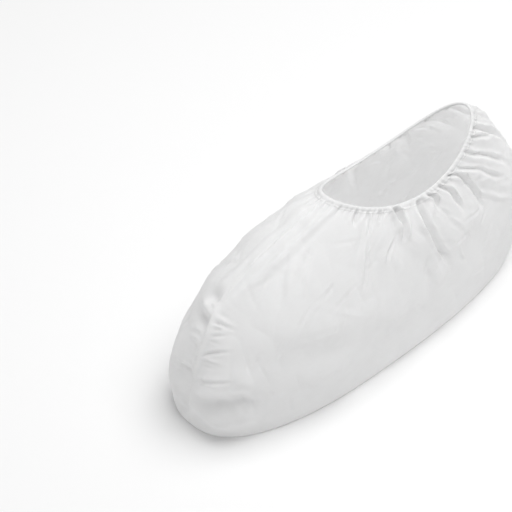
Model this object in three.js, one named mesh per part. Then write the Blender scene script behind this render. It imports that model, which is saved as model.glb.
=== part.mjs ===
// Overshoe of white nonwoven cloth: two mirror-image panels sewn together along the instep, toe, sole
// and heel, with an elastic hem gathered round the ankle opening.
// Millimetres, +Z up, toe towards -Y, sole on z = 0 and the seam in the plane x = 0.

import * as THREE from 'three';

// Driving dimensions
const length = 322; // toe to heel
const width = 115; // across the ball of the foot
const widestAhead = 24; // widest line, ahead of mid-length
const toeSquareness = 2.5; // exponent of the plan outline, where 2 is an ellipse
const heelSquareness = 2.45;
const mouthWidth = 55; // ankle opening, seen from above
const mouthLength = 139;
const mouthBehind = 38; // middle of the opening, behind mid-length
const mouthSideHeight = 113.5; // top edge of the hem at the ankle's sides, at the instep and at the heel
const mouthFrontHeight = 131.5;
const mouthBackHeight = 138.5;
const sectionSwing = 20; // degrees that the sides' sections swing back on their way down
const soleRoundness = 0.9; // conic weight of the bend from the side into the sole
const wall = 1.4; // cloth
const seamGap = 0.3; // between the panels, and between panel and hem
const hemWidth = 7; // elastic hem, down the cloth
const hemThickness = 2.6;
const hemRuffles = 26;
const ruffleDepth = 0.8;

// Mesh density
const columns = 62; // round one panel, from toe seam to heel seam
const rows = 17; // down one panel, from hem to sole edge
const rowCrowding = 1.25; // above 1 draws the rows together under the hem

// Sections down one side, from the toe seam at angle 0 to the heel seam at 180.
// crown: height that the cloth heads for as it leaves the hem. girth: height of the widest line.
// fullness: how squarely the shoulder between them fills out. tuck: sole edge inside the widest line.
const sections = [
  { angle: 0, crown: 104, girth: 22, fullness: 1.36, tuck: 2 },
  { angle: 15, crown: 99, girth: 26, fullness: 1.04, tuck: 2.5 },
  { angle: 35, crown: 98, girth: 32, fullness: 0.8, tuck: 4 },
  { angle: 60, crown: 95, girth: 34, fullness: 0.72, tuck: 4.5 },
  { angle: 90, crown: 88, girth: 34, fullness: 0.82, tuck: 5 },
  { angle: 120, crown: 92, girth: 36, fullness: 0.9, tuck: 4.5 },
  { angle: 150, crown: 100, girth: 42, fullness: 0.86, tuck: 4.5 },
  { angle: 180, crown: 109, girth: 46, fullness: 0.62, tuck: 5 },
];

// Valleys that fan out from the gathered hem. from and to: angle at the hem and at the tip.
// reach: length down the cloth. spread: half width. depth: how far the valley sinks.
const gathers = [
  { from: 12, to: 16, reach: 44, spread: 4, depth: 1.3 },
  { from: 26, to: 34, reach: 34, spread: 4, depth: 1.5 },
  { from: 38, to: 46, reach: 34, spread: 4, depth: 1.8 },
  { from: 48, to: 62, reach: 76, spread: 4.5, depth: 2.8 },
  { from: 57, to: 69, reach: 66, spread: 4.5, depth: 2.2 },
  { from: 67, to: 77, reach: 48, spread: 5.5, depth: 3.8 },
  { from: 83, to: 87, reach: 86, spread: 5.5, depth: 5.2 },
  { from: 91, to: 89, reach: 38, spread: 4.5, depth: 3.6 },
  { from: 100, to: 99, reach: 48, spread: 4.5, depth: 3.8 },
  { from: 108, to: 109, reach: 68, spread: 6, depth: 5.6 },
  { from: 120, to: 123, reach: 40, spread: 4.5, depth: 2.2 },
  { from: 131, to: 142, reach: 70, spread: 5, depth: 3.8 },
  { from: 148, to: 163, reach: 70, spread: 4.5, depth: 3.4 },
  { from: 165, to: 171, reach: 46, spread: 4, depth: 2 },
];
const rightPanelShift = 4; // the right panel's gathers sit this many degrees nearer the heel
const gatherStart = 0.1; // share of the depth right under the hem
const gatherPeak = 0.28; // share of the reach at which a valley is deepest
const gatherFade = 0.4; // share of the reach from which it dies away
const gatherFlare = 0.9; // widening towards the tip

// Soft hollows away from the hem, on one panel each. angle and drop: middle, where drop is the distance
// down the cloth from the hem's top edge. across and down: half sizes. turn: degrees, towards the heel.
// A negative depth swells the cloth instead.
const dents = [
  { panel: 'left_panel', angle: 7, drop: 124, across: 14, down: 4, turn: -14, depth: 2 },
  { panel: 'left_panel', angle: 9, drop: 142, across: 16, down: 4.5, turn: -20, depth: 2 },
  { panel: 'left_panel', angle: 25, drop: 161, across: 14, down: 6, turn: -6, depth: 2.6 },
  { panel: 'left_panel', angle: 53, drop: 92, across: 28, down: 7, turn: -22, depth: 2.2 },
  { panel: 'left_panel', angle: 79, drop: 62, across: 6, down: 20, turn: 0, depth: 1.8 },
  { panel: 'right_panel', angle: 26, drop: 32, across: 14, down: 20, turn: 0, depth: -3 },
  { panel: 'right_panel', angle: 15, drop: 130, across: 20, down: 16, turn: 20, depth: 2.2 },
  { panel: 'right_panel', angle: 8, drop: 165, across: 12, down: 5, turn: 20, depth: 2 },
  { panel: 'right_panel', angle: 60, drop: 92, across: 28, down: 7, turn: 24, depth: 2 },
  { panel: 'right_panel', angle: 95, drop: 66, across: 7, down: 22, turn: 0, depth: 1.8 },
];

const degree = Math.PI / 180;
const halfWidth = width / 2;
const widestY = -widestAhead;
const toeRun = length / 2 - widestAhead; // widest line to toe
const heelRun = length / 2 + widestAhead; // widest line to heel
const mouthEndRise = (mouthFrontHeight + mouthBackHeight) / 2 - mouthSideHeight;
const mouthLean = (mouthBackHeight - mouthFrontHeight) / 2;
const panelStart = hemWidth + seamGap;

const smoothstep = THREE.MathUtils.smoothstep;
const signedPower = (value, exponent) => Math.sign(value) * Math.abs(value) ** exponent;

// Smooth curve through one column of the section table, level at the toe and heel seams
function sectionColumn(name) {
  const angles = sections.map((row) => row.angle);
  const values = sections.map((row) => row[name]);
  const curve = new THREE.CubicInterpolant(angles, values, 1);
  curve.settings = { endingStart: THREE.ZeroSlopeEnding, endingEnd: THREE.ZeroSlopeEnding };
  return (angle) => curve.evaluate(angle)[0];
}

const crownAt = sectionColumn('crown');
const girthAt = sectionColumn('girth');
const fullnessAt = sectionColumn('fullness');
const tuckAt = sectionColumn('tuck');

// Point on a conic from start to end that heads for the corner point
function conicPoint(start, corner, end, weight, t) {
  const a = (1 - t) ** 2;
  const b = 2 * weight * t * (1 - t);
  const c = t * t;
  const point = start.clone().multiplyScalar(a);
  point.addScaledVector(corner, b);
  point.addScaledVector(end, c);
  return point.divideScalar(a + b + c);
}

// One section on the +X side: from the mouth over the shoulder to the widest line, then in to the sole edge
class SectionCurve extends THREE.Curve {
  constructor(angle) {
    super();
    const across = Math.max(Math.sin(angle * degree), 0);
    const along = Math.cos(angle * degree);
    const swung = (angle + sectionSwing * across) * degree;
    const ahead = Math.cos(swung);
    const run = ahead > 0 ? toeRun : heelRun;
    const squareness = ahead > 0 ? toeSquareness : heelSquareness;
    const planX = signedPower(Math.max(Math.sin(swung), 0), 2 / squareness);
    const planY = -signedPower(ahead, 2 / squareness);
    const outward = new THREE.Vector3(
      signedPower(planX, squareness - 1) / halfWidth,
      signedPower(planY, squareness - 1) / run,
      0,
    ).normalize();
    const x = halfWidth * planX;
    const y = widestY + run * planY;
    this.fullness = fullnessAt(angle);
    this.mouth = new THREE.Vector3(
      (mouthWidth / 2) * across,
      mouthBehind - (mouthLength / 2) * along,
      mouthSideHeight + mouthEndRise * along ** 2 - mouthLean * along,
    );
    this.shoulder = new THREE.Vector3(x, y, crownAt(angle));
    this.widest = new THREE.Vector3(x, y, girthAt(angle));
    this.corner = new THREE.Vector3(x, y, 0);
    this.soleEdge = this.corner.clone().addScaledVector(outward, -tuckAt(angle));
  }

  getPoint(t, target = new THREE.Vector3()) {
    const upper = conicPoint(this.mouth, this.shoulder, this.widest, this.fullness, Math.min(2 * t, 1));
    const lower = conicPoint(this.widest, this.corner, this.soleEdge, soleRoundness, Math.max(2 * t - 1, 0));
    return target.copy(t < 0.5 ? upper : lower);
  }
}

// Section angles spaced evenly along the mouth's edge, from toe seam to heel seam
function columnAngles() {
  const edge = new THREE.EllipseCurve(0, 0, mouthWidth / 2, mouthLength / 2, -Math.PI / 2, Math.PI / 2);
  return Array.from({ length: columns + 1 }, (_, i) => 180 * edge.getUtoTmapping(i / columns));
}

// Outward normals of a grid of points, from the steps between neighbours. The seam columns mirror in x.
function gridNormals(grid) {
  const last = grid.length - 1;
  const mirrored = (point) => new THREE.Vector3(-point.x, point.y, point.z);
  return grid.map((column, i) => column.map((point, k) => {
    const before = i > 0 ? grid[i - 1][k] : mirrored(grid[1][k]);
    const after = i < last ? grid[i + 1][k] : mirrored(grid[last - 1][k]);
    const above = column[Math.max(k - 1, 0)];
    const below = column[Math.min(k + 1, column.length - 1)];
    const round = after.clone().sub(before);
    const down = below.clone().sub(above);
    return down.cross(round).normalize();
  }));
}

// Cross-section of a valley between two low shoulders, where 1 is its floor and it crosses 0 at offset 1
const valley = (offset) => (1 - offset ** 2) * Math.exp((-(offset ** 2)) / 2);

function gatherDepth(gather, shift, angle, drop, roundStep) {
  const along = (drop - hemWidth) / gather.reach;
  if (along >= 1) return 0;
  const middle = THREE.MathUtils.lerp(gather.from, gather.to, along) + shift;
  const spread = gather.spread * (1 + gatherFlare * along);
  const offset = ((angle - middle) * roundStep) / spread;
  const rise = THREE.MathUtils.lerp(gatherStart, 1, smoothstep(along, 0, gatherPeak));
  const fade = 1 - smoothstep(along, gatherFade, 1);
  return gather.depth * rise * fade * valley(offset);
}

function dentDepth(dent, angle, drop, roundStep) {
  const side = (angle - dent.angle) * roundStep;
  const down = drop - dent.drop;
  const turn = dent.turn * degree;
  const across = (side * Math.cos(turn) + down * Math.sin(turn)) / dent.across;
  const along = (down * Math.cos(turn) - side * Math.sin(turn)) / dent.down;
  return dent.depth * Math.exp(-(across ** 2)) * valley(along);
}

// Outer and inner face of a panel on the +X side, as columns of points from the hem down to the sole edge.
// Both faces sink together along the smooth form's normals, and the sole edge stays flat.
function panelFaces(name, shift) {
  const angles = columnAngles();
  const curves = angles.map((angle) => new SectionCurve(angle));
  const drops = curves.map((curve) => {
    const run = curve.getLength() - panelStart;
    return Array.from({ length: rows + 1 }, (_, k) => panelStart + run * (k / rows) ** rowCrowding);
  });
  const form = curves.map((curve, i) => drops[i].map((drop) => curve.getPointAt(drop / curve.getLength())));
  const normals = gridNormals(form);
  const ownDents = dents.filter((dent) => dent.panel === name);
  const sunk = (i, k) => {
    const before = Math.max(i - 1, 0);
    const after = Math.min(i + 1, columns);
    const roundStep = form[before][k].distanceTo(form[after][k]) / (angles[after] - angles[before]);
    let depth = 0;
    for (const gather of gathers) depth += gatherDepth(gather, shift, angles[i], drops[i][k], roundStep);
    for (const dent of ownDents) depth += dentDepth(dent, angles[i], drops[i][k], roundStep);
    return depth * smoothstep(form[i][k].z, 0, girthAt(angles[i]));
  };
  const outer = form.map((column) => column.map((point) => point.clone()));
  const inner = form.map((column) => column.map((point) => point.clone().setZ(wall)));
  for (let i = 0; i <= columns; i += 1) {
    for (let k = 0; k < rows; k += 1) {
      const depth = sunk(i, k);
      outer[i][k].addScaledVector(normals[i][k], -depth);
      inner[i][k].copy(form[i][k]).addScaledVector(normals[i][k], -depth - wall);
    }
  }
  return { outer, inner };
}

function indexedGeometry(points, triangles) {
  const geometry = new THREE.BufferGeometry();
  geometry.setFromPoints(points);
  geometry.setIndex(triangles);
  geometry.computeVertexNormals();
  return geometry;
}

// Closed wall between the two faces, with a flat half sole. side is 1 for +X and -1 for -X.
function panelGeometry(name, side, shift) {
  const { outer, inner } = panelFaces(name, shift);
  const seated = (point) => new THREE.Vector3(side * (Math.max(point.x, 0) + seamGap / 2), point.y, point.z);
  const points = [...outer.flat(), ...inner.flat()].map(seated);
  const innerOffset = (columns + 1) * (rows + 1);
  const at = (i, k) => i * (rows + 1) + k;
  const triangles = [];
  const addTriangle = (a, b, c) => triangles.push(...(side > 0 ? [a, b, c] : [a, c, b]));
  const addQuad = (a, b, c, d) => {
    addTriangle(a, b, c);
    addTriangle(a, c, d);
  };
  for (let i = 0; i < columns; i += 1) {
    for (let k = 0; k < rows; k += 1) {
      const corners = [at(i, k), at(i, k + 1), at(i + 1, k + 1), at(i + 1, k)];
      addQuad(...corners);
      addQuad(...corners.reverse().map((index) => index + innerOffset));
    }
  }
  const steps = (count) => Array.from({ length: count }, (_, step) => step);
  const soleEdge = steps(columns + 1).map((i) => at(i, rows));
  const soleOutline = soleEdge.map((index) => new THREE.Vector2(Math.abs(points[index].x), points[index].y));
  for (const [a, b, c] of THREE.ShapeUtils.triangulateShape(soleOutline, [])) {
    addTriangle(soleEdge[a], soleEdge[c], soleEdge[b]);
    addTriangle(soleEdge[a] + innerOffset, soleEdge[b] + innerOffset, soleEdge[c] + innerOffset);
  }
  const hemEdge = steps(columns + 1).map((i) => at(i, 0));
  const heelSeam = steps(rows).map((k) => at(columns, k + 1));
  const toeSeam = steps(rows).map((k) => at(0, rows - k));
  const border = [...hemEdge, ...heelSeam, ...toeSeam];
  border.forEach((index, n) => {
    const next = border[(n + 1) % border.length];
    addQuad(index, next, next + innerOffset, index + innerOffset);
  });
  return indexedGeometry(points, triangles);
}

// Outline of the hem's band: distance down the cloth as a share of its width, and standing out from the
// cloth's middle as a share of half its thickness. ruffle: how much of the ruffles it takes.
const hemOutline = [
  { down: 0, out: 0, ruffle: 0.6 },
  { down: 0.12, out: 0.8, ruffle: 0.8 },
  { down: 0.5, out: 1, ruffle: 1 },
  { down: 1, out: 0.8, ruffle: 0.35 },
  { down: 1, out: -0.8, ruffle: 0.35 },
  { down: 0.5, out: -1, ruffle: 1 },
  { down: 0.12, out: -0.8, ruffle: 0.8 },
];

// Closed ring round the mouth, ruffled where the elastic draws it in
function hemGeometry() {
  const sides = hemOutline.length;
  const levels = hemOutline.slice(0, (sides + 1) / 2).map((row) => row.down * hemWidth);
  const curves = columnAngles().map((angle) => new SectionCurve(angle));
  const band = curves.map((curve) => levels.map((drop) => curve.getPointAt(drop / curve.getLength())));
  const normals = gridNormals(band);
  const ring = [];
  const addStation = (i, side) => {
    const phase = Math.PI * hemRuffles * (i / columns);
    hemOutline.forEach((row, n) => {
      const level = Math.min(n, sides - n);
      const ruffle = ruffleDepth * row.ruffle * Math.sin(side * phase);
      const out = (row.out * hemThickness - wall) / 2 + ruffle;
      const point = band[i][level].clone().addScaledVector(normals[i][level], out);
      point.x *= side;
      ring.push(point);
    });
  };
  for (let i = 0; i <= columns; i += 1) addStation(i, 1);
  for (let i = columns - 1; i > 0; i -= 1) addStation(i, -1);
  const triangles = [];
  for (let i = 0; i < 2 * columns; i += 1) {
    const here = i * sides;
    const ahead = ((i + 1) % (2 * columns)) * sides;
    for (let n = 0; n < sides; n += 1) {
      const next = (n + 1) % sides;
      triangles.push(here + n, here + next, ahead + next);
      triangles.push(here + n, ahead + next, ahead + n);
    }
  }
  return indexedGeometry(ring, triangles);
}

function clothMesh(name, geometry, colour) {
  const material = new THREE.MeshStandardMaterial({ color: colour, roughness: 0.8, metalness: 0 });
  const mesh = new THREE.Mesh(geometry, material);
  mesh.name = name;
  return mesh;
}

const shoeCover = new THREE.Group();
shoeCover.add(clothMesh('left_panel', panelGeometry('left_panel', 1, 0), '#ececea'));
shoeCover.add(clothMesh('right_panel', panelGeometry('right_panel', -1, rightPanelShift), '#ececea'));
shoeCover.add(clothMesh('elastic_hem', hemGeometry(), '#f1f1ef'));

export default shoeCover;
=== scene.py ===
import bpy
import numpy as np
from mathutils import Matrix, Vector


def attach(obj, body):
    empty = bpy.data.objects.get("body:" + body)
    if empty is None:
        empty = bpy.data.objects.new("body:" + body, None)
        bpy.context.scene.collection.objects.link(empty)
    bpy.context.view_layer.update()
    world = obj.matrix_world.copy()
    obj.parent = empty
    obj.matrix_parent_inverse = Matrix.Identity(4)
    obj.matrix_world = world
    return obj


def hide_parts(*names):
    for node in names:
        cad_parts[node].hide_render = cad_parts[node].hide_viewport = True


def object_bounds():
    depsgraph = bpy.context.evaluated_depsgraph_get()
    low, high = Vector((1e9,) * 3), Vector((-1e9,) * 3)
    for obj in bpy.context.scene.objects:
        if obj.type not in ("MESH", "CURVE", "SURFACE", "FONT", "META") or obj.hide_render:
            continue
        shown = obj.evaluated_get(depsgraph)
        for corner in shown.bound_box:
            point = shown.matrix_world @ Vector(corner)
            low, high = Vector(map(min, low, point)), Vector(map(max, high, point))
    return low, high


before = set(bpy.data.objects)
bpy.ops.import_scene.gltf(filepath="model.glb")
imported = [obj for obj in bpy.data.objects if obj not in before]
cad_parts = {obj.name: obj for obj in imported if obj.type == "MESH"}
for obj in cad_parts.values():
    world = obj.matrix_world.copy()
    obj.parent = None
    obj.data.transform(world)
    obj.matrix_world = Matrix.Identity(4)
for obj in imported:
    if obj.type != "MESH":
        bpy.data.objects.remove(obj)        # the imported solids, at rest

cadLow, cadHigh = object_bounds()
mm = 0.001
chanceSeed = 41
rng = np.random.default_rng(chanceSeed)

# smooth form of the cover in millimetres: toe towards -Y, sole on z = 0, seam in the plane x = 0
coverForm = {
    "length": round((cadHigh.y - cadLow.y) / mm),
    "width": round((cadHigh.x - cadLow.x) / mm),
    "widestAhead": 24,          # widest line, ahead of mid-length
    "toeSquareness": 2.5,       # exponent of the plan outline, 2 is an ellipse
    "heelSquareness": 2.45,
    "mouthWidth": 55,
    "mouthLength": 139,
    "mouthBehind": 38,          # middle of the opening, behind mid-length
    "mouthSideHeight": 113.5,
    "mouthFrontHeight": 131.5,
    "mouthBackHeight": 138.5,
    "sectionSwing": 20,         # degrees that the sides' sections swing back on their way down
    "soleRoundness": 0.9,
}

# sections from the toe seam at angle 0, by the side at 90, to the heel seam at 180
sections = [
    {"angle": 0, "crown": 104, "girth": 22, "fullness": 1.36, "tuck": 2},
    {"angle": 15, "crown": 99, "girth": 26, "fullness": 1.04, "tuck": 2.5},
    {"angle": 35, "crown": 98, "girth": 32, "fullness": 0.8, "tuck": 4},
    {"angle": 60, "crown": 95, "girth": 34, "fullness": 0.72, "tuck": 4.5},
    {"angle": 90, "crown": 88, "girth": 34, "fullness": 0.82, "tuck": 5},
    {"angle": 120, "crown": 92, "girth": 36, "fullness": 0.9, "tuck": 4.5},
    {"angle": 150, "crown": 100, "girth": 42, "fullness": 0.86, "tuck": 4.5},
    {"angle": 180, "crown": 109, "girth": 46, "fullness": 0.62, "tuck": 5},
]


def smoothstep(value, low, high):
    t = np.clip((value - low) / (high - low), 0, 1)
    return t * t * (3 - 2 * t)


# rises over one span of values and falls over another
def window(value, rise, fall):
    return smoothstep(value, *rise) * (1 - smoothstep(value, *fall))


def bell(offset):
    return np.exp(-offset ** 2)


# smooth curve through a few points, level at both ends if asked
def smoothThrough(at, values, where, level=False):
    at = np.array(at, float)
    values = np.array(values, float)
    slope = np.gradient(values, at)
    if level:
        slope[0] = slope[-1] = 0
    cell = np.clip(np.searchsorted(at, where, side="right") - 1, 0, len(at) - 2)
    gap = at[cell + 1] - at[cell]
    t = np.clip((where - at[cell]) / gap, 0, 1)
    start = (1 + 2 * t) * (1 - t) ** 2 * values[cell] + t * (1 - t) ** 2 * gap * slope[cell]
    end = t * t * (3 - 2 * t) * values[cell + 1] + t * t * (t - 1) * gap * slope[cell + 1]
    return start + end


def sectionColumn(name, angles):
    at = [row["angle"] for row in sections]
    return smoothThrough(at, [row[name] for row in sections], angles, level=True)


# curve from start to end, drawn towards the corner by its weight
def conicPoints(start, corner, end, weight, t):
    a = (1 - t) ** 2
    b = 2 * weight[:, None] * t * (1 - t)
    c = t * t
    shares = [np.broadcast_to(share, b.shape)[..., None] for share in (a, b, c)]
    total = shares[0] + shares[1] + shares[2]
    return (shares[0] * start[:, None] + shares[1] * corner[:, None] + shares[2] * end[:, None]) / total


# distance along each row of points
def runAlong(points):
    strides = np.linalg.norm(np.diff(points, axis=-2), axis=-1)
    start = np.zeros((*strides.shape[:-1], 1))
    return np.concatenate([start, np.cumsum(strides, axis=-1)], axis=-1)


# sections on the +X side as dense point rows, with the distance down the cloth at each point
def sectionFan(angles, steps=260):
    size = coverForm
    across = np.maximum(np.sin(np.radians(angles)), 0)
    along = np.cos(np.radians(angles))
    swung = np.radians(angles + size["sectionSwing"] * across)
    ahead = np.cos(swung)
    toeward = ahead > 0
    half = size["length"] / 2
    run = np.where(toeward, half - size["widestAhead"], half + size["widestAhead"])
    power = np.where(toeward, size["toeSquareness"], size["heelSquareness"])
    planX = np.maximum(np.sin(swung), 0) ** (2 / power)
    planY = -np.sign(ahead) * np.abs(ahead) ** (2 / power)
    outX = planX ** (power - 1) / (size["width"] / 2)
    outY = np.sign(planY) * np.abs(planY) ** (power - 1) / run
    outward = np.stack([outX, outY, 0 * outX], axis=1)
    outward /= np.linalg.norm(outward, axis=1, keepdims=True)
    x = size["width"] / 2 * planX
    y = -size["widestAhead"] + run * planY
    endRise = (size["mouthFrontHeight"] + size["mouthBackHeight"]) / 2 - size["mouthSideHeight"]
    lean = (size["mouthBackHeight"] - size["mouthFrontHeight"]) / 2
    mouth = np.stack([size["mouthWidth"] / 2 * across,
                      size["mouthBehind"] - size["mouthLength"] / 2 * along,
                      size["mouthSideHeight"] + endRise * along ** 2 - lean * along], axis=1)
    shoulder = np.stack([x, y, sectionColumn("crown", angles)], axis=1)
    widest = np.stack([x, y, sectionColumn("girth", angles)], axis=1)
    corner = np.stack([x, y, 0 * x], axis=1)
    soleEdge = corner - outward * sectionColumn("tuck", angles)[:, None]
    t = np.linspace(0, 1, steps)
    upper = conicPoints(mouth, shoulder, widest, sectionColumn("fullness", angles), t)
    lower = conicPoints(widest, corner, soleEdge, np.full(len(angles), size["soleRoundness"]), t[1:])
    points = np.concatenate([upper, lower], axis=1)
    return points, runAlong(points)


def pointsAtDrops(fan, wanted):
    points, drops = fan
    rows = [np.stack([np.interp(wanted[i], drops[i], points[i, :, axis]) for axis in range(3)], axis=1)
            for i in range(len(points))]
    return np.array(rows)


# section angles spaced evenly along the mouth's edge and the widest line, closer by the toe seam
def evenAngles(count):
    size = panelSizes
    trial = np.linspace(0, 180, size["trialAngles"])
    points = sectionFan(trial, size["trialSteps"])[0]
    toeShare = 1 - size["mouthShare"] - size["widestShare"]
    share = toeShare * np.clip(trial / size["toeReach"], 0, 1)
    for row, weight in ((0, size["mouthShare"]), (size["trialSteps"] - 1, size["widestShare"])):
        length = runAlong(points[:, row])
        share += weight * length / length[-1]
    return np.interp(np.linspace(0, 1, count), share, trial)


# outward normals of a grid of points; the seam columns mirror in x
def gridNormals(grid):
    mirror = np.array([-1, 1, 1])
    wide = np.concatenate([grid[1:2] * mirror, grid, grid[-2:-1] * mirror])
    normals = np.cross(np.gradient(grid, axis=1), wide[2:] - wide[:-2])
    return normals / np.maximum(np.linalg.norm(normals, axis=2, keepdims=True), 1e-9)


# low valleys that fan out from the gathered hem, as on the solids; the creases below carry the rest
gathers = [
    {"from": 12, "to": 16, "reach": 44, "spread": 4, "depth": 1.3},
    {"from": 26, "to": 34, "reach": 34, "spread": 4, "depth": 1.5},
    {"from": 38, "to": 46, "reach": 34, "spread": 4, "depth": 1.8},
    {"from": 48, "to": 62, "reach": 76, "spread": 4.5, "depth": 2.8},
    {"from": 57, "to": 69, "reach": 66, "spread": 4.5, "depth": 2.2},
    {"from": 67, "to": 77, "reach": 48, "spread": 5.5, "depth": 3.8},
    {"from": 83, "to": 87, "reach": 86, "spread": 5.5, "depth": 5.2},
    {"from": 91, "to": 89, "reach": 38, "spread": 4.5, "depth": 3.6},
    {"from": 100, "to": 99, "reach": 48, "spread": 4.5, "depth": 3.8},
    {"from": 108, "to": 109, "reach": 68, "spread": 6, "depth": 5.6},
    {"from": 120, "to": 123, "reach": 40, "spread": 4.5, "depth": 2.2},
    {"from": 131, "to": 142, "reach": 70, "spread": 5, "depth": 3.8},
    {"from": 148, "to": 163, "reach": 70, "spread": 4.5, "depth": 3.4},
    {"from": 165, "to": 171, "reach": 46, "spread": 4, "depth": 2},
]
gatherShape = {
    "share": 0.4, "start": 0.2, "peak": 0.22, "fade": 0.4, "flare": 0.9, "hem": 7,
    "rightShift": 4,            # degrees that the right panel's folds sit nearer the heel
}

# crisp creases, each along a path of (angle, drop); a depth below zero makes a ridge, lean makes one
# flank steeper, flare widens it downwards, fade is the share of the path where it starts to die out,
# wander scales the chance in it, and side keeps it to one panel
creases = [
    {"path": [(38, 5), (43.5, 18)], "spread": 1.2, "depth": 2.0, "lean": -0.2},
    {"path": [(47.5, 4), (53, 16), (55.5, 28)], "spread": 1.1, "depth": 1.5, "lean": -0.2},
    {"path": [(56.5, 30), (60.5, 46), (61, 68)], "spread": 1.2, "depth": 1.3, "lean": -0.2},
    {"path": [(56, 3), (58.5, 14)], "spread": 1.2, "depth": 2.0, "lean": -0.2},
    {"path": [(64.5, 3), (69, 11)], "spread": 1.0, "depth": 1.2, "lean": 0},
    {"path": [(65.5, 1), (70.5, 9), (72.5, 20), (73, 28)],
     "spread": 2.5, "depth": 7.2, "lean": 0.1, "flare": -0.4, "fade": 0.65},
    {"path": [(70.5, 25), (69, 33), (68.5, 46)], "spread": 1.2, "depth": 1.5, "lean": 0.2},
    {"path": [(82, 2), (81.2, 10), (81.2, 21), (82.8, 34), (84.8, 48), (87, 72)],
     "spread": 3.1, "depth": 6.2, "lean": 0.15, "flare": -0.4, "fade": 0.25},
    {"path": [(87.5, 12), (87, 20)], "spread": 1.1, "depth": 1.5, "lean": 0},
    {"path": [(89, 2), (91, 6), (89.5, 18)], "spread": 1.6, "depth": 3.2, "lean": -0.3},
    {"path": [(90.5, 19), (91, 32)], "spread": 1.2, "depth": 1.2, "lean": 0.2},
    {"path": [(98.5, 4), (100, 9), (99.5, 20), (98.5, 36)], "spread": 1.7, "depth": 3.6, "lean": -0.35},
    {"path": [(107, 3), (110, 7), (111.5, 15), (110, 24), (109, 37), (107, 54)],
     "spread": 1.7, "depth": 3.8, "lean": -0.35},
    {"path": [(109.5, 34), (116, 56), (125.5, 76)], "spread": 2.0, "depth": -1.2, "lean": 0},
    {"path": [(115, 7), (119.5, 23), (123.5, 44), (127.5, 62)], "spread": 1.6, "depth": 1.9, "lean": -0.3},
    {"path": [(127.5, 4), (129.5, 19), (134, 36), (138, 60)], "spread": 1.7, "depth": 3.2, "lean": -0.3},
    {"path": [(140, 5), (143, 12), (147, 26)], "spread": 1.4, "depth": 2.5, "lean": -0.3},
    {"path": [(148.5, 4), (150.5, 17), (153.5, 32), (158, 54)], "spread": 1.8, "depth": 3.9, "lean": -0.3},
    {"path": [(163, 4), (168, 34)], "spread": 1.7, "depth": 2.3, "lean": 0.2},
    {"path": [(172, 4), (174, 24)], "spread": 1.4, "depth": 1.6, "lean": 0.2},
    {"path": [(17, 4), (12, 40), (6, 85), (1, 116)],
     "spread": 2.4, "depth": -1.9, "lean": 0.2, "side": 1, "wander": 0},
    {"path": [(9, 30), (9, 60), (7, 90), (4, 120)],
     "spread": 4.5, "depth": 3.3, "lean": 0.2, "side": -1, "wander": 0},
    {"path": [(13, 52), (22, 74), (28.5, 96)], "spread": 2.3, "depth": 1.3, "lean": -0.2, "wander": 0.3},
    {"path": [(23, 40), (33, 82)], "spread": 2.3, "depth": 1.2, "lean": -0.2, "wander": 0.3},
    {"path": [(79.5, 42), (79.5, 82)], "spread": 3.0, "depth": 1.0, "lean": 0.2},
]

# how creases end, and the chance in them: millimetres aside, share of the depth, two waves down the cloth
creaseShape = {
    "riseFrom": -0.15, "riseTo": 0.2, "flare": 0.5, "fade": 0.5, "end": 1.05,
    "aside": 0.42, "uneven": 0.2, "long": 4.1, "short": 1.9,
    "shortShare": 0.7, "shortPhase": 2.3, "unevenPhase": 3.1,
    "sideShare": {1: 1.0, -1: 0.28},      # the right panel is drawn in more softly
}

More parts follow.
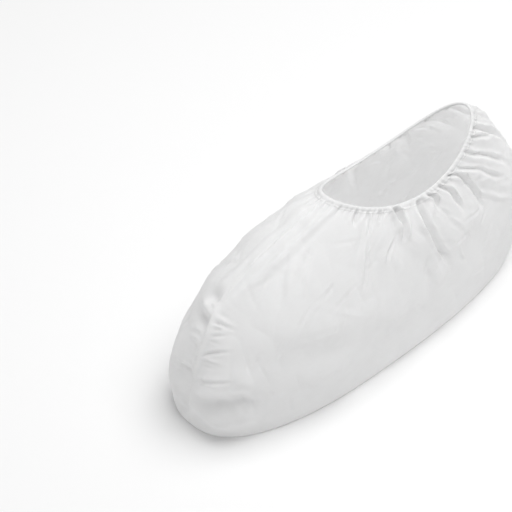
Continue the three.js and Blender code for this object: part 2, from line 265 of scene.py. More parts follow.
# hollows away from the hem: half sizes in millimetres, turned by degrees; a depth below zero swells
dents = [
    {"side": 1, "angle": 2.8, "drop": 114.5, "across": 8, "down": 1.4, "turn": -6, "depth": -0.8},
    {"side": 1, "angle": 3.2, "drop": 118, "across": 8, "down": 1.2, "turn": -14, "depth": 1.3},
    {"side": 1, "angle": 3.0, "drop": 121.5, "across": 6, "down": 1.0, "turn": -24, "depth": 0.6},
    {"side": 1, "angle": 3.8, "drop": 125.5, "across": 7, "down": 1.1, "turn": -30, "depth": 0.9},
    {"side": 1, "angle": 3.6, "drop": 130.5, "across": 5, "down": 1.0, "turn": -14, "depth": 0.5},
    {"side": 1, "angle": 5.4, "drop": 137, "across": 11, "down": 1.2, "turn": -34, "depth": 1.3},
    {"side": 1, "angle": 5, "drop": 142.5, "across": 9, "down": 1.4, "turn": -16, "depth": -0.8},
    {"side": 1, "angle": 5, "drop": 148, "across": 6, "down": 1.1, "turn": -24, "depth": 0.5},
    {"side": 1, "angle": 8.5, "drop": 155.5, "across": 13, "down": 1.3, "turn": -29, "depth": 1.7},
    {"side": 1, "angle": 10.5, "drop": 164, "across": 9, "down": 5, "turn": -20, "depth": 1.4},
    {"side": 1, "angle": 3.5, "drop": 176, "across": 4, "down": 1.1, "turn": 12, "depth": 0.6},
    {"side": 1, "angle": 3, "drop": 181, "across": 4, "down": 1.1, "turn": -4, "depth": 0.5},
    {"side": 1, "angle": 14, "drop": 171, "across": 20, "down": 9, "turn": -31, "depth": 6.4},
    {"side": 1, "angle": 25, "drop": 158.5, "across": 8, "down": 8, "turn": -10, "depth": 5.0},
    {"side": 1, "angle": 16, "drop": 171, "across": 15, "down": 4.5, "turn": -31, "depth": 1.4},
    {"side": 1, "angle": 17, "drop": 185, "across": 13, "down": 6.5, "turn": -34, "depth": -3.0},
    {"side": 1, "angle": 7, "drop": 196, "across": 12, "down": 7, "turn": -10, "depth": 3.4},
    {"side": 1, "angle": 42, "drop": 157, "across": 6, "down": 1.6, "turn": 88, "depth": 1.0},
    {"side": 1, "angle": 52, "drop": 109, "across": 30, "down": 11, "turn": -24, "depth": 3.0},
    {"side": 1, "angle": 73, "drop": 96, "across": 30, "down": 11, "turn": -24, "depth": 3.6},
    {"side": 1, "angle": 55, "drop": 80, "across": 22, "down": 2.2, "turn": 2, "depth": -0.35},
    {"side": 1, "angle": 48, "drop": 101, "across": 18, "down": 2.2, "turn": -26, "depth": -0.35},
    {"side": 1, "angle": 67.5, "drop": 82, "across": 13, "down": 2.0, "turn": 88, "depth": 0.5},
    {"side": 1, "angle": 79, "drop": 62, "across": 6, "down": 20, "turn": 0, "depth": 1.4},
    {"side": 1, "angle": 98, "drop": 45, "across": 13, "down": 13, "turn": 0, "depth": -1.6},
    {"side": 1, "angle": 93, "drop": 34, "across": 9, "down": 1.3, "turn": 62, "depth": -0.6},
    {"side": 1, "angle": 96, "drop": 52, "across": 8, "down": 1.3, "turn": -48, "depth": -0.7},
    {"side": 1, "angle": 101, "drop": 44, "across": 10, "down": 1.2, "turn": 18, "depth": 0.6},
    {"side": 1, "angle": 91, "drop": 60, "across": 9, "down": 1.3, "turn": 78, "depth": -0.7},
    {"side": 1, "angle": 104, "drop": 70, "across": 12, "down": 1.5, "turn": -36, "depth": 0.6},
    {"side": 1, "angle": 118, "drop": 88, "across": 12, "down": 1.5, "turn": -52, "depth": 0.6},
    {"side": 1, "angle": 105, "drop": 55, "across": 7, "down": 1.5, "turn": -20, "depth": 0.9},
    {"side": -1, "angle": 6, "drop": 105, "across": 9, "down": 6, "turn": 0, "depth": 2.6},
    {"side": -1, "angle": 6, "drop": 114, "across": 17, "down": 2.4, "turn": -8, "depth": -0.3},
    {"side": -1, "angle": 5.5, "drop": 121.5, "across": 14, "down": 5.6, "turn": -8, "depth": 4.6},
    {"side": -1, "angle": 5.5, "drop": 126.5, "across": 12, "down": 1.6, "turn": -14, "depth": 0.8},
    {"side": -1, "angle": 5, "drop": 133, "across": 10, "down": 1.6, "turn": 6, "depth": 0.7},
    {"side": -1, "angle": 4, "drop": 160, "across": 8, "down": 1.9, "turn": -4, "depth": 1.7},
    {"side": -1, "angle": 26, "drop": 34, "across": 20, "down": 24, "turn": 0, "depth": -2.4},
    {"side": -1, "angle": 15, "drop": 130, "across": 20, "down": 16, "turn": 20, "depth": 2.2},
    {"side": -1, "angle": 8, "drop": 165, "across": 12, "down": 5, "turn": 20, "depth": 2},
    {"side": -1, "angle": 60, "drop": 92, "across": 28, "down": 7, "turn": 24, "depth": 2},
    {"side": -1, "angle": 95, "drop": 66, "across": 7, "down": 22, "turn": 0, "depth": 1.8},
]

# small chance folds, drawn once for each panel
chanceFolds = {
    "puckerGap": (5.0, 3.0), "puckerGapAngles": (70, 105), "puckerStray": (0.7, 1.3),
    "puckerDepth": (0.15, 0.65), "puckerSpread": (0.9, 1.5), "puckerReach": (6, 18),
    "puckerDrift": (-0.1, 0.1), "puckerLean": (-0.3, 0.3), "puckerFlare": 1.3, "puckerFade": 0.1,
    "seamFirst": {0: 30, 180: 16}, "seamLast": 12, "seamGap": 7.0, "seamStray": (-2.8, 2.8),
    "seamDepth": (0.2, 0.8), "seamSpread": (1.5, 2.6), "seamReach": (5, 13), "seamTurn": (-16, 16),
    "seamShares": (0.15, 1.5), "instepDrops": (96, 120), "heelShare": 0.35,
    "creaseCount": 120, "creaseAngles": (4, 176), "creaseTop": 26, "creaseLow": 16,
    "creaseDepth": (0.15, 0.55), "creaseLength": (8, 30), "creaseSpread": (1.2, 2.1),
    "creaseTurns": (90, 60, -60, 30, -30), "creaseStray": (-20, 20),
    "waveCount": 26, "waveLength": (34, 90), "waveDepth": 0.95, "waveDrops": (16, 40),
    "crumpleLength": (20, 44), "crumpleDepth": 0.28, "crumpleMean": 0.8,
    "pleatLength": (10, 24), "pleatDepth": 0.26,
    "pleatRise": (9, 22), "pleatFall": (42, 78), "pleatAngles": (40, 85),
}

# the seam: a stitched groove between two low rolls, and its bow over the toe, by drop
seamShape = {"groove": 0.3, "grooveWidth": 0.8, "roll": 0.3, "rollOut": 2.2, "rollWidth": 1.6, "blend": 3}
seamBow = {"rise": (106, 130), "fall": (160, 192), "shift": 4.4, "reach": 18}

# the keel where the panels meet over the toe, with a shallow hollow along it on the right panel
toeKeel = {"rise": (104, 116), "fall": (152, 164), "height": 2.6, "width": 2.8, "slope": 3.2,
           "hollow": 1.2, "hollowOut": 7.0, "hollowWidth": 4.0, "hollowRise": (92, 104),
           "knuckle": 113, "knuckleHalf": 2.6, "knuckleHeight": 0.2}


def valley(offset):
    return (1 - offset ** 2) * np.exp(-offset ** 2 / 2)


def leaningValley(offset, lean):
    return valley(offset / (1 + lean * np.sign(offset)))


# each sink tells how far the cloth lies below its smooth form, in millimetres
def gatherSink(gather, shift, cloth):
    along = (cloth["drop"] - gatherShape["hem"]) / gather["reach"]
    middle = gather["from"] + (gather["to"] - gather["from"]) * along + shift
    spread = gather["spread"] * (1 + gatherShape["flare"] * np.clip(along, 0, 1))
    offset = (cloth["angle"] - middle) * cloth["step"] / spread
    rise = gatherShape["start"] + (1 - gatherShape["start"]) * smoothstep(along, 0, gatherShape["peak"])
    fade = 1 - smoothstep(along, gatherShape["fade"], 1)
    return gatherShape["share"] * gather["depth"] * rise * fade * valley(offset)


def creaseSink(crease, shift, cloth):
    angles = [point[0] for point in crease["path"]]
    drops = [point[1] for point in crease["path"]]
    along = (cloth["drop"] - drops[0]) / (drops[-1] - drops[0])
    size = creaseShape
    share = crease.get("wander", 1)
    phase = angles[0]
    sway = np.sin(cloth["drop"] / size["long"] + phase)
    sway += size["shortShare"] * np.sin(cloth["drop"] / size["short"] + size["shortPhase"] * phase)
    aside = share * size["aside"] * sway / cloth["step"]
    middle = smoothThrough(drops, angles, cloth["drop"]) + shift + aside
    spread = crease["spread"] * (1 + crease.get("flare", size["flare"]) * np.clip(along, 0, 1))
    offset = (cloth["angle"] - middle) * cloth["step"] / spread
    rise = smoothstep(along, size["riseFrom"], size["riseTo"])
    fade = 1 - smoothstep(along, crease.get("fade", size["fade"]), size["end"])
    uneven = 1 + share * size["uneven"] * np.sin(cloth["drop"] / size["long"] + size["unevenPhase"] * phase)
    return crease["depth"] * uneven * rise * fade * leaningValley(offset, crease["lean"])


def dentSink(dent, cloth):
    side = (cloth["angle"] - dent["angle"]) * cloth["step"]
    down = cloth["drop"] - dent["drop"]
    turn = np.radians(dent["turn"])
    across = (side * np.cos(turn) + down * np.sin(turn)) / dent["across"]
    along = (down * np.cos(turn) - side * np.sin(turn)) / dent["down"]
    return dent["depth"] * bell(across) * valley(along)


# short puckers under the elastic, evenly strewn along the mouth's edge
def drawPuckers():
    size = chanceFolds
    wide, narrow = size["puckerGap"]
    puckers = []
    spot = wide / 2
    while spot < mouthEdge["length"]:
        angle = np.interp(spot, mouthEdge["along"], mouthEdge["angles"])
        gap = wide + (narrow - wide) * smoothstep(angle, *size["puckerGapAngles"])
        puckers.append({"from": angle, "drift": rng.uniform(*size["puckerDrift"]),
                        "reach": rng.uniform(*size["puckerReach"]),
                        "spread": rng.uniform(*size["puckerSpread"]),
                        "depth": rng.uniform(*size["puckerDepth"]),
                        "lean": rng.uniform(*size["puckerLean"])})
        spot += gap * rng.uniform(*size["puckerStray"])
    return puckers


def puckerSink(puckers, cloth):
    size = chanceFolds
    sink = np.zeros(cloth["drop"].shape)
    for pucker in puckers:
        along = np.clip((cloth["drop"] - gatherShape["hem"]) / pucker["reach"], 0, 1)
        side = (cloth["angle"] - pucker["from"]) * cloth["step"] - pucker["drift"] * cloth["drop"]
        offset = side / (pucker["spread"] * (1 + size["puckerFlare"] * along))
        fade = 1 - smoothstep(along, size["puckerFade"], 1)
        sink += pucker["depth"] * fade * leaningValley(offset, pucker["lean"])
    return sink


# puckers across the seam, and faint creases anywhere on the wall, in the form of dents
def drawChanceDents(side, fanLengths):
    size = chanceFolds
    least, most = size["seamShares"]
    found = []
    for seamAngle, first in size["seamFirst"].items():
        last = np.interp(seamAngle, *fanLengths) - size["seamLast"]
        if seamAngle == 0 and side > 0:
            last = toeKeel["rise"][0]      # below it the dents have this panel's own puckers
        for spot in np.arange(first, last, size["seamGap"]):
            share = size["heelShare"]
            if seamAngle == 0:
                share = smoothstep(spot, *size["instepDrops"])      # the instep's seam lies smooth
            found.append({"angle": seamAngle, "drop": spot + rng.uniform(*size["seamStray"]),
                          "across": rng.uniform(*size["seamReach"]),
                          "down": rng.uniform(*size["seamSpread"]), "turn": rng.uniform(*size["seamTurn"]),
                          "depth": rng.uniform(*size["seamDepth"]) * (least + (most - least) * share)})
    for _ in range(size["creaseCount"]):
        angle = rng.uniform(*size["creaseAngles"])
        total = np.interp(angle, *fanLengths)
        found.append({"angle": angle, "drop": rng.uniform(size["creaseTop"], total - size["creaseLow"]),
                      "across": rng.uniform(*size["creaseLength"]) / 2,
                      "down": rng.uniform(*size["creaseSpread"]),
                      "turn": rng.choice(size["creaseTurns"]) + rng.uniform(*size["creaseStray"]),
                      "depth": rng.uniform(*size["creaseDepth"])})
    return found


# soft waves through space: smooth swells, and flat facets that meet in faint ridges
def drawWaves(lengths):
    count = chanceFolds["waveCount"]
    heading = rng.normal(size=(count, 3))
    heading /= np.linalg.norm(heading, axis=1, keepdims=True)
    return {"push": heading * (2 * np.pi / rng.uniform(*lengths, count))[:, None],
            "phase": rng.uniform(0, 2 * np.pi, count)}


def waveHeight(waves, points):
    angle = points @ waves["push"].T + waves["phase"]
    return np.sin(angle).sum(axis=-1) * np.sqrt(2 / len(waves["phase"]))


# edge of the mouth on one side: distance from the toe seam against angle
edgeAngles = np.linspace(0, 180, 721)
edgePoints = sectionFan(edgeAngles, 8)[0][:, 0]      # few steps, since only the edge is wanted
mouthEdge = {"angles": edgeAngles, "along": runAlong(edgePoints)}
mouthEdge["length"] = mouthEdge["along"][-1]

# grid of columns round the mouth, rows down the wall and rows across the half sole, then the cloth itself
panelSizes = {
    "columns": 292, "wallRows": 156, "soleRows": 9, "top": 4.4, "spine": 0.9,
    "rowShares": (0, 0.37, 0.85, 1), "downShares": (0, 0.48, 0.8, 1),
    "mouthShare": 0.46, "widestShare": 0.44, "toeReach": 12, "trialAngles": 1801, "trialSteps": 60,
    "thickness": 0.4, "rimAngle": 1.2, "seamGap": 0.004, "seamRise": 8,
    "stitchLift": 0.1, "sewnFrom": 9, "sewnTo": 4, "flatStretch": 2.2,
}


# points down one panel on the +X side, before any fold
def smoothPanel():
    angles = evenAngles(panelSizes["columns"] + 1)
    fan = sectionFan(angles)
    rows = np.linspace(0, 1, panelSizes["wallRows"] + 1)
    share = np.interp(rows, panelSizes["rowShares"], panelSizes["downShares"])
    totals = fan[1][:, -1]
    drops = panelSizes["top"] + (totals[:, None] - panelSizes["top"]) * share
    points = pointsAtDrops(fan, drops)
    return angles, drops, points, totals


# where each point lies on the cloth, and the millimetres in a degree there
def clothMap(angles, drops, points):
    turnStep = np.gradient(angles)[:, None]
    step = np.linalg.norm(np.gradient(points, axis=0), axis=2) / turnStep
    return {"angle": np.broadcast_to(angles[:, None], drops.shape), "drop": drops, "step": step}


# gathers and creases of one panel, which the hem follows too
def foldSink(side, cloth):
    shift = 0 if side > 0 else gatherShape["rightShift"]
    sink = np.zeros(cloth["drop"].shape)
    for gather in gathers:
        sink += gatherSink(gather, shift, cloth)
    for crease in creases:
        if crease.get("side", side) == side:
            sink += creaseSink(crease, shift, cloth) * creaseShape["sideShare"][side]
    return sink


def panelSink(side, cloth, points, chance):
    sink = foldSink(side, cloth)
    for dent in dents:
        if dent["side"] == side:
            sink += dentSink(dent, cloth)
    for dent in chance["dents"]:
        sink += dentSink(dent, cloth)
    size = chanceFolds
    clear = smoothstep(cloth["drop"], *size["waveDrops"])      # the elastic holds the edge to its line
    sink += size["waveDepth"] * clear * waveHeight(chance["waves"], points)
    facets = np.abs(waveHeight(chance["facets"], points)) - size["crumpleMean"]
    sink -= size["crumpleDepth"] * clear * facets
    pleated = window(cloth["drop"], size["pleatRise"], size["pleatFall"])
    pleated = pleated * smoothstep(cloth["angle"], *size["pleatAngles"])
    pleats = np.abs(waveHeight(chance["pleats"], points)) - size["crumpleMean"]
    sink -= size["pleatDepth"] * pleated * pleats
    aside = np.abs(points[..., 0])
    sink *= smoothstep(aside, 0, seamShape["blend"])      # both panels meet along the seam
    sink += puckerSink(chance["puckers"], cloth)
    return sink


def seamSink(side, points, cloth):
    keel = toeKeel
    aside = np.abs(points[..., 0])
    drop = cloth["drop"]
    toeward = cloth["angle"] < 90
    knuckle = bell((drop - keel["knuckle"]) / keel["knuckleHalf"])
    ridge = toeward * window(drop, keel["rise"], keel["fall"])
    ridge = ridge * (keel["height"] + keel["knuckleHeight"] * knuckle)
    if side > 0:
        ridge = ridge * bell(aside / keel["width"])
        hollow = 0
    else:
        ridge = ridge * np.exp(-aside / keel["slope"])      # the right panel falls away at once
        hollow = toeward * window(drop, keel["hollowRise"], keel["fall"]) * keel["hollow"] * (1 - knuckle)
        hollow = hollow * bell((aside - keel["hollowOut"]) / keel["hollowWidth"])
    groove = seamShape["groove"] * bell(aside / seamShape["grooveWidth"])
    roll = seamShape["roll"] * bell((aside - seamShape["rollOut"]) / seamShape["rollWidth"])
    return groove - roll - ridge + hollow


# the sewn seam bows towards the left panel over the toe
def bowShift(aside, cloth):
    swell = window(cloth["drop"], seamBow["rise"], seamBow["fall"]) * (cloth["angle"] < 90)
    return seamBow["shift"] * swell * bell(aside / seamBow["reach"])


def drawChance(side, fanLengths):
    return {"puckers": drawPuckers(), "dents": drawChanceDents(side, fanLengths),
            "waves": drawWaves(chanceFolds["waveLength"]),
            "facets": drawWaves(chanceFolds["crumpleLength"]),
            "pleats": drawWaves(chanceFolds["pleatLength"])}


def addObject(name, data):
    thing = bpy.data.objects.new(name, data)
    bpy.context.scene.collection.objects.link(thing)
    return thing


# one object from a grid of points, with a UV map in metres
def gridObject(name, grid, uv, closedRound, outward):
    columns, rows = grid.shape[:2]
    index = np.arange(columns * rows).reshape(columns, rows)
    if closedRound:
        index = np.concatenate([index, index[:1]])
    corners = [index[:-1, :-1], index[:-1, 1:], index[1:, 1:], index[1:, :-1]]
    quads = np.stack(corners, axis=-1).reshape(-1, 4)
    if not outward:
        quads = quads[:, ::-1]
    mesh = bpy.data.meshes.new(name)
    mesh.from_pydata((grid.reshape(-1, 3) * mm).tolist(), [], quads.tolist())
    layer = mesh.uv_layers.new(name="clothUV")
    corner = np.empty(len(mesh.loops), dtype=np.int32)
    mesh.loops.foreach_get("vertex_index", corner)
    layer.data.foreach_set("uv", (uv.reshape(-1, 2)[corner] * mm).ravel())
    mesh.polygons.foreach_set("use_smooth", np.ones(len(mesh.polygons), dtype=bool))
    mesh.update()
    return addObject(name, mesh)


# the evaluated mesh takes the place of the modifiers
def settle(piece):
    graph = bpy.context.evaluated_depsgraph_get()
    mesh = bpy.data.meshes.new_from_object(piece.evaluated_get(graph), depsgraph=graph)
    piece.modifiers.clear()
    old = piece.data
    piece.data = mesh
    bpy.data.meshes.remove(old)
    mesh.name = piece.name
    return piece


def makePanel(name, side, chance, material):
    angles, drops, points, totals = smoothPanel()
    cloth = clothMap(angles, drops, points)
    # folds end at the sole
    hold = smoothstep(points[..., 2], 0, sectionColumn("girth", angles)[:, None])
    sink = panelSink(side, cloth, points, chance) * hold
    sink += seamSink(side, points, cloth) * smoothstep(points[..., 2], 0, panelSizes["seamRise"])
    normals = gridNormals(points)
    wall = points - normals * sink[..., None]
    wall[..., 0] = np.maximum(wall[..., 0], 0)      # no fold crosses the seam
    wall[..., 0] += side * bowShift(wall[..., 0], cloth)
    soleEdge = wall[:, -1:]
    share = np.linspace(0, 1, panelSizes["soleRows"] + 1)[1:, None]
    spine = soleEdge * np.array([0, panelSizes["spine"], 0])
    sole = soleEdge + (spine - soleEdge) * share
    grid = np.concatenate([wall, sole], axis=1)
    grid[..., 2] = np.maximum(grid[..., 2], 0)
    grid[..., 0] = side * (grid[..., 0] + panelSizes["seamGap"])
    soleDrop = totals[:, None] + np.linalg.norm(sole - soleEdge, axis=2)
    down = np.concatenate([drops, soleDrop], axis=1)
    around = np.interp(angles, mouthEdge["angles"], mouthEdge["along"]) * panelSizes["flatStretch"]
    uv = np.stack(np.broadcast_arrays(around[:, None], down), axis=-1)
    piece = gridObject(name, grid, uv, closedRound=False, outward=side > 0)
    solidify = piece.modifiers.new("cloth wall", "SOLIDIFY")
    solidify.thickness = panelSizes["thickness"] * mm
    solidify.offset = -1
    settle(piece)
    piece.data.set_sharp_from_angle(angle=panelSizes["rimAngle"])
    piece.data.materials.append(material)
    raised = wall + normals * panelSizes["stitchLift"]
    sewn = (drops > panelSizes["sewnFrom"]) & (points[..., 2] > panelSizes["sewnTo"])
    return piece, [raised[0][sewn[0]], raised[-1][sewn[-1]]]


# a roll over the elastic and a flange below it, with a row of stitches
hemCasing = {
    "stations": 940, "rollRows": 13, "rollEase": 1.3, "flangeRows": (4.1, 4.5, 4.9, 5.3, 5.7, 6.0),
    "rollWidth": 3.6, "rollHalf": 1.05, "rollRound": 0.85, "flangeHalf": 0.46, "flangeStart": 0.5,
    "stitchAt": 4.5, "groove": 0.25, "grooveWidth": 0.45, "scallop": 0.2, "middle": -0.3,
    "slackDrops": (1.5, 5.5), "ruffleAngles": (70, 105), "weld": 1e-6,
    "ruffle": {1: (0.3, 0.45), -1: (0.25, 0.25)}, "sway": {1: 0.2, -1: 0.08},
}


# half thickness of the casing against distance down the cloth
def casingHalf(down):
    size = hemCasing
    half = size["rollWidth"] / 2
    roll = np.sqrt(np.maximum(1 - ((down - half) / half) ** 2, 0)) ** size["rollRound"]
    flange = smoothstep(down, size["rollWidth"] * size["flangeStart"], size["rollWidth"])
    groove = size["groove"] * bell((down - size["stitchAt"]) / size["grooveWidth"])
    return np.maximum(size["rollHalf"] * roll, size["flangeHalf"] * flange) - groove


# one side of the ring: its outer face down, then its inner face back up
def hemHalf(side, puckers, down):
    size = hemCasing
    stations = np.linspace(0, mouthEdge["length"], size["stations"] // 2 + 1)
    angles = np.interp(stations, mouthEdge["along"], mouthEdge["angles"])
    rows = np.broadcast_to(down, (len(angles), len(down)))
    points = pointsAtDrops(sectionFan(angles), rows)
    cloth = clothMap(angles, rows, points)
    bold = foldSink(side, cloth) * smoothstep(np.abs(points[..., 0]), 0, seamShape["blend"])
    pucker = puckerSink(puckers, cloth)
    slack = smoothstep(rows, *size["slackDrops"])      # the elastic holds the roll stiffer than the flange
    ruffle = np.interp(cloth["angle"], size["ruffleAngles"], size["ruffle"][side])
    sway = size["sway"][side]
    sink = pucker * (ruffle + (1 - ruffle) * slack) + bold * (sway + (1 - sway) * slack)
    normals = gridNormals(points)
    lift = size["scallop"] * pucker * (1 - smoothstep(rows, 0, size["rollWidth"]))
    downward = np.gradient(points, axis=1)
    downward /= np.linalg.norm(downward, axis=2, keepdims=True)
    middle = points + normals * (size["middle"] - sink)[..., None] + downward * lift[..., None]
    outer = middle + normals * casingHalf(rows)[..., None]
    inner = middle - normals * casingHalf(rows)[..., None]
    ring = np.concatenate([outer, inner[:, ::-1][:, :-1]], axis=1)
    ring[..., 0] *= side
    return ring


def makeHem(name, chances, material):
    size = hemCasing
    rollRows = np.linspace(0, 1, size["rollRows"]) ** size["rollEase"] * size["rollWidth"]
    down = np.concatenate([rollRows, size["flangeRows"]])
    halves = [hemHalf(side, chances[side]["puckers"], down) for side in (1, -1)]
    loop = np.concatenate([halves[0], halves[1][::-1][1:-1]])
    seam = 0.5 * (halves[0][[0, -1]] + halves[1][[0, -1]])
    loop[0] = seam[0]
    loop[len(halves[0]) - 1] = seam[1]
    loop = np.concatenate([loop, loop[:, :1]], axis=1)
    along = np.linspace(0, 2 * mouthEdge["length"], len(loop))[:, None] * panelSizes["flatStretch"]
    across = np.concatenate([down, down[::-1][:-1], [0]])[None, :]
    uv = np.stack(np.broadcast_arrays(along, across), axis=-1)
    piece = gridObject(name, loop, uv, closedRound=True, outward=True)
    weld = piece.modifiers.new("casing edge", "WELD")
    weld.merge_threshold = size["weld"]
    settle(piece)
    piece.data.materials.append(material)
    stitchRow = int(np.argmin(np.abs(down - size["stitchAt"])))
    return piece, loop[:, stitchRow]


fibreSizes = {
    "cloudDetail": 4, "cloudRough": 0.6, "fibreDetail": 2, "fibreRough": 0.5,
    "turns": (0.4, 1.5, 2.6), "tilt": 0.3, "roll": 0.2, "stretch": (1.0, 0.12, 1.0),
    "cloudTone": 0.6, "fibreTone": 0.4, "cloudHeight": 5.0, "fibreHeight": 0.5,
}


# fibre grain shared by the cloths: clouds of denser fibre, and fine fibres lying all ways
def fibreGroup():
    size = fibreSizes
    group = bpy.data.node_groups.new("fibreGrain", "ShaderNodeTree")
    sockets = [
        ("Coordinates", "INPUT", "NodeSocketVector"), ("Cloud Scale", "INPUT", "NodeSocketFloat"),
        ("Fibre Scale", "INPUT", "NodeSocketFloat"), ("Density", "OUTPUT", "NodeSocketFloat"),
        ("Height", "OUTPUT", "NodeSocketFloat"),
    ]
    for name, way, kind in sockets:
        group.interface.new_socket(name=name, in_out=way, socket_type=kind)
    nodes, links = group.nodes, group.links
    source = nodes.new("NodeGroupInput")
    sink = nodes.new("NodeGroupOutput")

    def noise(detail, roughness, scaleSocket, vector):
        node = nodes.new("ShaderNodeTexNoise")
        node.inputs["Detail"].default_value = detail
        node.inputs["Roughness"].default_value = roughness
        links.new(scaleSocket, node.inputs["Scale"])
        links.new(vector, node.inputs["Vector"])
        return node.outputs["Fac"]

    def maths(operation, first, second):
        node = nodes.new("ShaderNodeMath")
        node.operation = operation
        for socket, value in zip(node.inputs, (first, second)):
            if isinstance(value, (int, float)):
                socket.default_value = value
            else:
                links.new(value, socket)
        return node.outputs[0]

    def blended(cloudShare, fibreShare):
        return maths("ADD", maths("MULTIPLY", cloud, cloudShare), maths("MULTIPLY", strongest, fibreShare))

    place = source.outputs["Coordinates"]
    cloud = noise(size["cloudDetail"], size["cloudRough"], source.outputs["Cloud Scale"], place)
    fibres = []
    for turn in size["turns"]:
        mapping = nodes.new("ShaderNodeMapping")
        mapping.inputs["Rotation"].default_value = (size["tilt"] * turn, size["roll"], turn)
        mapping.inputs["Scale"].default_value = size["stretch"]
        links.new(place, mapping.inputs["Vector"])
        fibres.append(noise(size["fibreDetail"], size["fibreRough"], source.outputs["Fibre Scale"],
                            mapping.outputs["Vector"]))
    strongest = maths("MAXIMUM", maths("MAXIMUM", fibres[0], fibres[1]), fibres[2])
    links.new(blended(size["cloudTone"], size["fibreTone"]), sink.inputs["Density"])
    links.new(blended(size["cloudHeight"], size["fibreHeight"]), sink.inputs["Height"])
    return group


# tones of thin and dense fibre, grain scales, and the share of light that comes through
clothFinish = {
    "panelWhite": {"thin": (0.955, 0.955, 0.955), "dense": (0.985, 0.985, 0.985), "cloud": 70, "fibre": 700,
                   "rough": (0.72, 0.9), "bump": 0.4, "relief": 0.0002, "sheen": 0.12, "through": 0.67},
    "hemWhite": {"thin": (0.84, 0.84, 0.84), "dense": (0.89, 0.89, 0.89), "cloud": 110, "fibre": 900,
                 "rough": (0.7, 0.88), "bump": 0.14, "relief": 0.00018, "sheen": 0.15, "through": 0.3},
    "threadWhite": {"thin": (0.90, 0.90, 0.895), "dense": (0.95, 0.95, 0.945), "cloud": 500, "fibre": 2600,
                    "rough": (0.45, 0.65), "bump": 0.2, "relief": 0.00006, "sheen": 0.2, "through": 0.3},
}
clothGloss = 0.3
densitySpan = (0.36, 0.64)      # the grain's own range, stretched over both tones


def clothMaterial(name, grain):
    size = clothFinish[name]
    material = bpy.data.materials.new(name)
    material.use_nodes = True
    nodes, links = material.node_tree.nodes, material.node_tree.links
    shader = nodes["Principled BSDF"]
    shader.inputs["Sheen Weight"].default_value = size["sheen"]
    shader.inputs["Specular IOR Level"].default_value = clothGloss
    place = nodes.new("ShaderNodeTexCoord")
    fibre = nodes.new("ShaderNodeGroup")
    fibre.node_tree = grain
    fibre.inputs["Cloud Scale"].default_value = size["cloud"]
    fibre.inputs["Fibre Scale"].default_value = size["fibre"]
    links.new(place.outputs["Object"], fibre.inputs["Coordinates"])
    tone = nodes.new("ShaderNodeMapRange")
    tone.inputs["From Min"].default_value = densitySpan[0]
    tone.inputs["From Max"].default_value = densitySpan[1]
    links.new(fibre.outputs["Density"], tone.inputs["Value"])
    colour = nodes.new("ShaderNodeMix")
    colour.data_type = "RGBA"
    colour.inputs["A"].default_value = (*size["thin"], 1)
    colour.inputs["B"].default_value = (*size["dense"], 1)
    links.new(tone.outputs["Result"], colour.inputs["Factor"])
    links.new(colour.outputs["Result"], shader.inputs["Base Color"])
    rough = nodes.new("ShaderNodeMapRange")
    rough.inputs["To Min"].default_value = size["rough"][1]
    rough.inputs["To Max"].default_value = size["rough"][0]
    links.new(fibre.outputs["Density"], rough.inputs["Value"])
    links.new(rough.outputs["Result"], shader.inputs["Roughness"])
    bump = nodes.new("ShaderNodeBump")
    bump.inputs["Strength"].default_value = size["bump"]
    bump.inputs["Distance"].default_value = size["relief"]
    links.new(fibre.outputs["Height"], bump.inputs["Height"])
    links.new(bump.outputs["Normal"], shader.inputs["Normal"])
    glow = nodes.new("ShaderNodeBsdfTranslucent")      # light that comes through the thin cloth
    links.new(colour.outputs["Result"], glow.inputs["Color"])
    links.new(bump.outputs["Normal"], glow.inputs["Normal"])
    blend = nodes.new("ShaderNodeMixShader")
    blend.inputs["Fac"].default_value = size["through"]
    links.new(shader.outputs["BSDF"], blend.inputs[1])
    links.new(glow.outputs["BSDF"], blend.inputs[2])
    links.new(blend.outputs["Shader"], nodes["Material Output"].inputs["Surface"])
    return material


# millimetres, and a seed for the chance in each row
threadSizes = {
    "hem_stitches": {"Pitch": 2.6, "Stitch Length": 1.9, "Thread Width": 0.32, "Thread Height": 0.28,
                     "Seed": 7},
    "seam_stitches": {"Pitch": 2.8, "Stitch Length": 2.0, "Thread Width": 0.3, "Thread Height": 0.26,
                      "Seed": 11},
}
threadBead = {"segments": 8, "rings": 5, "least": (0.82, 0.9, 0.9), "most": (1.12, 1.1, 1.1)}


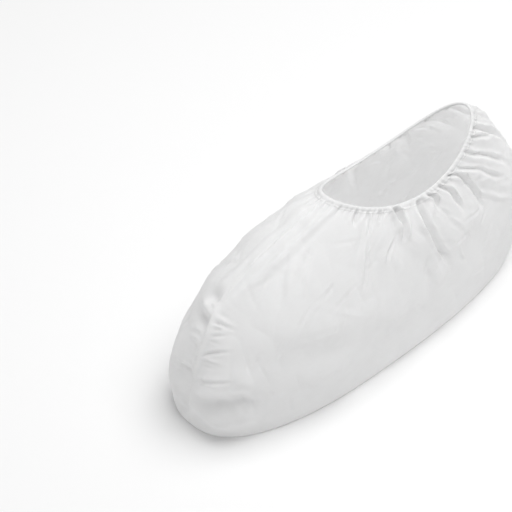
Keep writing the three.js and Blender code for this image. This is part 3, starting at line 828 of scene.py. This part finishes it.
# a row of stitches: short rounded thread bits laid along a line
def stitchTree():
    tree = bpy.data.node_groups.new("stitchRow", "GeometryNodeTree")
    tree.interface.new_socket(name="Geometry", in_out="INPUT", socket_type="NodeSocketGeometry")
    for name in ("Pitch", "Stitch Length", "Thread Width", "Thread Height"):
        tree.interface.new_socket(name=name, in_out="INPUT", socket_type="NodeSocketFloat")
    tree.interface.new_socket(name="Seed", in_out="INPUT", socket_type="NodeSocketInt")
    tree.interface.new_socket(name="Thread", in_out="INPUT", socket_type="NodeSocketMaterial")
    tree.interface.new_socket(name="Geometry", in_out="OUTPUT", socket_type="NodeSocketGeometry")
    nodes, links = tree.nodes, tree.links
    given = nodes.new("NodeGroupInput")
    made = nodes.new("NodeGroupOutput")
    toCurve = nodes.new("GeometryNodeMeshToCurve")
    links.new(given.outputs["Geometry"], toCurve.inputs["Mesh"])
    spaced = nodes.new("GeometryNodeResampleCurve")
    spaced.mode = "LENGTH"
    links.new(toCurve.outputs["Curve"], spaced.inputs["Curve"])
    links.new(given.outputs["Pitch"], spaced.inputs["Length"])
    bead = nodes.new("GeometryNodeMeshUVSphere")
    bead.inputs["Segments"].default_value = threadBead["segments"]
    bead.inputs["Rings"].default_value = threadBead["rings"]
    bead.inputs["Radius"].default_value = 0.5      # one across, so that its scale is its size
    form = nodes.new("ShaderNodeCombineXYZ")
    for socket, name in zip(form.inputs, ("Stitch Length", "Thread Width", "Thread Height")):
        links.new(given.outputs[name], socket)
    shaped = nodes.new("GeometryNodeTransform")
    links.new(bead.outputs["Mesh"], shaped.inputs["Geometry"])
    links.new(form.outputs["Vector"], shaped.inputs["Scale"])
    tangent = nodes.new("GeometryNodeInputTangent")
    aim = nodes.new("FunctionNodeAlignRotationToVector")
    aim.axis = "X"
    links.new(tangent.outputs["Tangent"], aim.inputs["Vector"])
    vary = nodes.new("FunctionNodeRandomValue")
    vary.data_type = "FLOAT_VECTOR"
    vary.inputs["Min"].default_value = threadBead["least"]
    vary.inputs["Max"].default_value = threadBead["most"]
    links.new(given.outputs["Seed"], vary.inputs["Seed"])
    placed = nodes.new("GeometryNodeInstanceOnPoints")
    links.new(spaced.outputs["Curve"], placed.inputs["Points"])
    links.new(shaped.outputs["Geometry"], placed.inputs["Instance"])
    links.new(aim.outputs["Rotation"], placed.inputs["Rotation"])
    links.new(vary.outputs["Value"], placed.inputs["Scale"])
    real = nodes.new("GeometryNodeRealizeInstances")
    links.new(placed.outputs["Instances"], real.inputs["Geometry"])
    smooth = nodes.new("GeometryNodeSetShadeSmooth")
    links.new(real.outputs["Geometry"], smooth.inputs["Geometry"])
    dress = nodes.new("GeometryNodeSetMaterial")
    links.new(smooth.outputs["Geometry"], dress.inputs["Geometry"])
    links.new(given.outputs["Thread"], dress.inputs["Material"])
    links.new(dress.outputs["Geometry"], made.inputs["Geometry"])
    return tree


def makeStitches(name, paths, tree, material, closed):
    mesh = bpy.data.meshes.new(name)
    edges = []
    first = 0
    for path in paths:
        last = first + len(path) - 1
        edges += [(i, i + 1) for i in range(first, last)]
        if closed:
            edges.append((last, first))
        first = last + 1
    mesh.from_pydata((np.concatenate(paths) * mm).tolist(), edges, [])
    piece = addObject(name, mesh)
    nodes = piece.modifiers.new("stitches", "NODES")
    nodes.node_group = tree
    inputs = [item for item in tree.interface.items_tree if item.in_out == "INPUT"]
    ids = {item.name: item.identifier for item in inputs}
    for key, value in threadSizes[name].items():
        nodes[ids[key]] = value if key == "Seed" else value * mm
    nodes[ids["Thread"]] = material
    return settle(piece)


# metres, a hair below the sole
floorSizes = {"half": 4.0, "level": -0.00002, "colour": (0.86, 0.86, 0.86), "rough": 0.9, "gloss": 0.1}


def makeFloor():
    mesh = bpy.data.meshes.new("floor")
    half = floorSizes["half"]
    level = floorSizes["level"]
    corners = [(-half, -half, level), (half, -half, level), (half, half, level), (-half, half, level)]
    mesh.from_pydata(corners, [], [(0, 1, 2, 3)])
    material = bpy.data.materials.new("paleFloor")
    material.use_nodes = True
    shader = material.node_tree.nodes["Principled BSDF"]
    shader.inputs["Roughness"].default_value = floorSizes["rough"]
    shader.inputs["Specular IOR Level"].default_value = floorSizes["gloss"]
    shader.inputs["Base Color"].default_value = (*floorSizes["colour"], 1)
    mesh.materials.append(material)
    addObject("floor", mesh)


# the lamp is in metres, the camera in millimetres as the cover is
studio = {
    "sky": 0.44, "lampPower": 27, "lampSize": 1.5, "lampAt": (0.16, 0.3, 1.66),
    "cameraAt": (658.77, -713.88, 900.80), "lookAt": (-62.93, -38.76, 41.73),
    "lens": 126.56, "sensor": 36, "clip": 0.05, "bounces": 14,
}


def makeStudio():
    scene = bpy.context.scene
    world = bpy.data.worlds.new("softSky")
    world.use_nodes = True
    sky = world.node_tree.nodes["Background"]
    sky.inputs["Color"].default_value = (1, 1, 1, 1)
    sky.inputs["Strength"].default_value = studio["sky"]
    scene.world = world
    lamp = bpy.data.lights.new("overheadPanel", "AREA")
    lamp.energy = studio["lampPower"]
    lamp.size = studio["lampSize"]
    light = addObject("overheadPanel", lamp)
    light.location = studio["lampAt"]
    light.rotation_euler = (-light.location).to_track_quat("-Z", "Y").to_euler()
    lens = bpy.data.cameras.new("camera")
    lens.lens = studio["lens"]
    lens.sensor_width = studio["sensor"]
    lens.clip_start = studio["clip"]
    camera = addObject("camera", lens)
    camera.location = Vector(studio["cameraAt"]) * mm
    sight = Vector(studio["lookAt"]) - Vector(studio["cameraAt"])
    camera.rotation_euler = sight.to_track_quat("-Z", "Y").to_euler()
    scene.camera = camera
    scene.view_settings.view_transform = "Standard"
    scene.cycles.max_bounces = studio["bounces"]
    scene.cycles.diffuse_bounces = studio["bounces"]


print("studio: floor, light and camera")
makeFloor()
makeStudio()

print("finishes: cloth, hem and thread")
grain = fibreGroup()
finish = {name: clothMaterial(name, grain) for name in clothFinish}

print("panels: gathers, creases and seam")
fanAngles = np.linspace(0, 180, 181)
fanLengths = (fanAngles, sectionFan(fanAngles)[1][:, -1])
chances = {side: drawChance(side, fanLengths) for side in (1, -1)}
leftPanel, seamLines = makePanel("left_panel_cloth", 1, chances[1], finish["panelWhite"])
rightPanel = makePanel("right_panel_cloth", -1, chances[-1], finish["panelWhite"])[0]

print("hem: casing and stitches")
hem, stitchLine = makeHem("hem_casing", chances, finish["hemWhite"])
threadTree = stitchTree()
thread = finish["threadWhite"]
hemStitches = makeStitches("hem_stitches", [stitchLine], threadTree, thread, closed=True)
seamStitches = makeStitches("seam_stitches", seamLines, threadTree, thread, closed=False)

pieceRows = [
    (leftPanel, "left_panel", "cloth"),
    (rightPanel, "right_panel", "cloth"),
    (hem, "elastic_hem", "hem"),
    (hemStitches, None, "hem"),
    (seamStitches, None, "cloth"),
]
for piece, node, slot in pieceRows:
    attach(piece, "root")
    if node:
        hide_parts(node)
